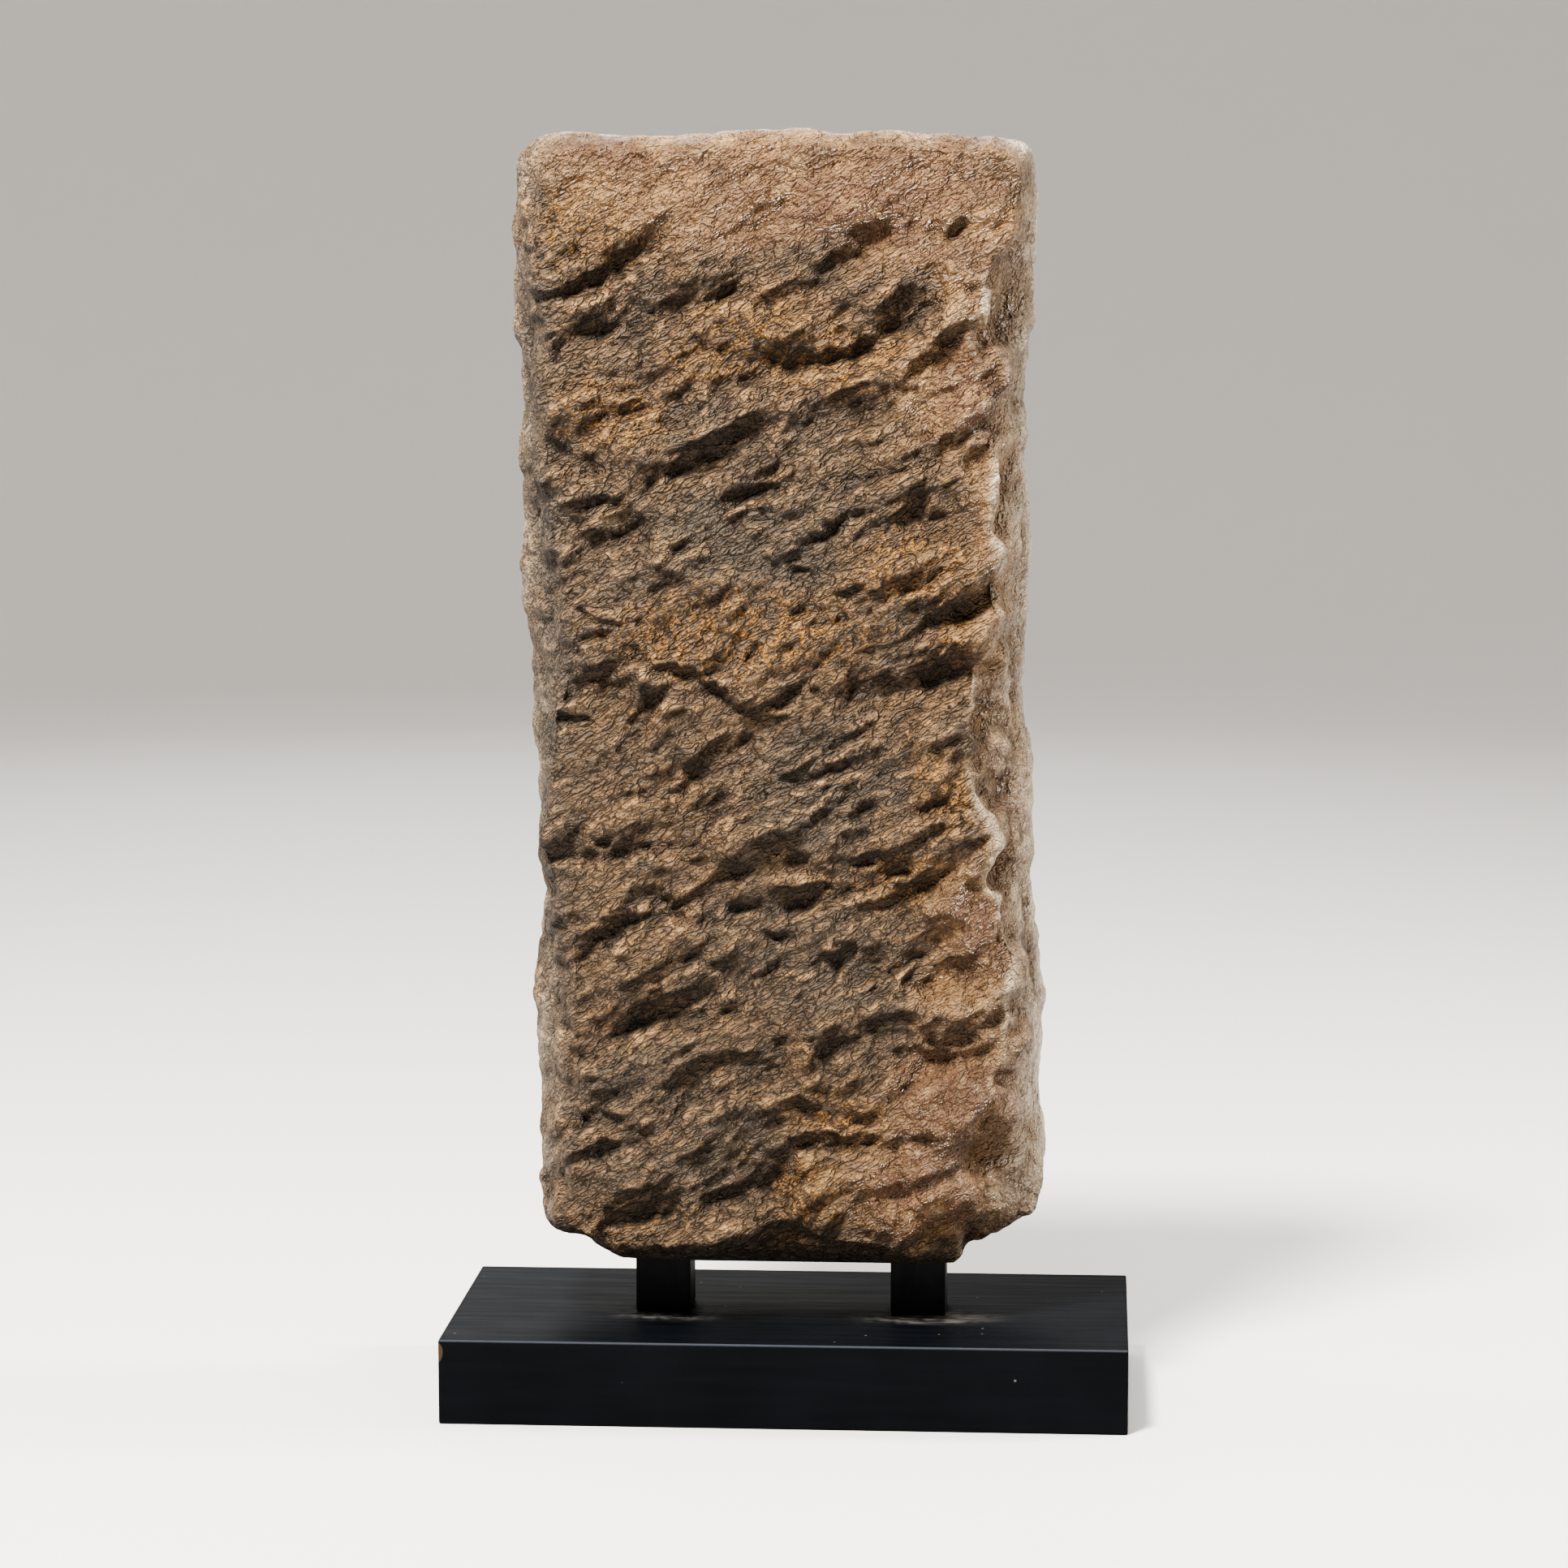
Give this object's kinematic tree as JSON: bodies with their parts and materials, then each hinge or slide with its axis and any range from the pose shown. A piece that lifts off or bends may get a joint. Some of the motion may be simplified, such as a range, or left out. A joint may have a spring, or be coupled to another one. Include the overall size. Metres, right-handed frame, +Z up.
{
  "type": "stele",
  "caption": "Upright block of weathered alabaster seen on its rough-hewn back, raised on short square metal posts over a black rectangular plinth.",
  "frame": {"origin": "middle of the plinth's underside", "axes": "+Z up along the stele, +X to the right as the rough back is faced, -Y out of the rough back towards the viewer"},
  "size_m": [0.32, 0.15, 0.5974],
  "materials": {
    "alabaster": "satin",
    "blackened_steel": "satin",
    "black_paint": "satin"
  },
  "bodies": {
    "root": {"stele": "alabaster", "post_left": "blackened_steel", "post_right": "blackened_steel", "plinth": "black_paint"}
  },
  "joints": []
}
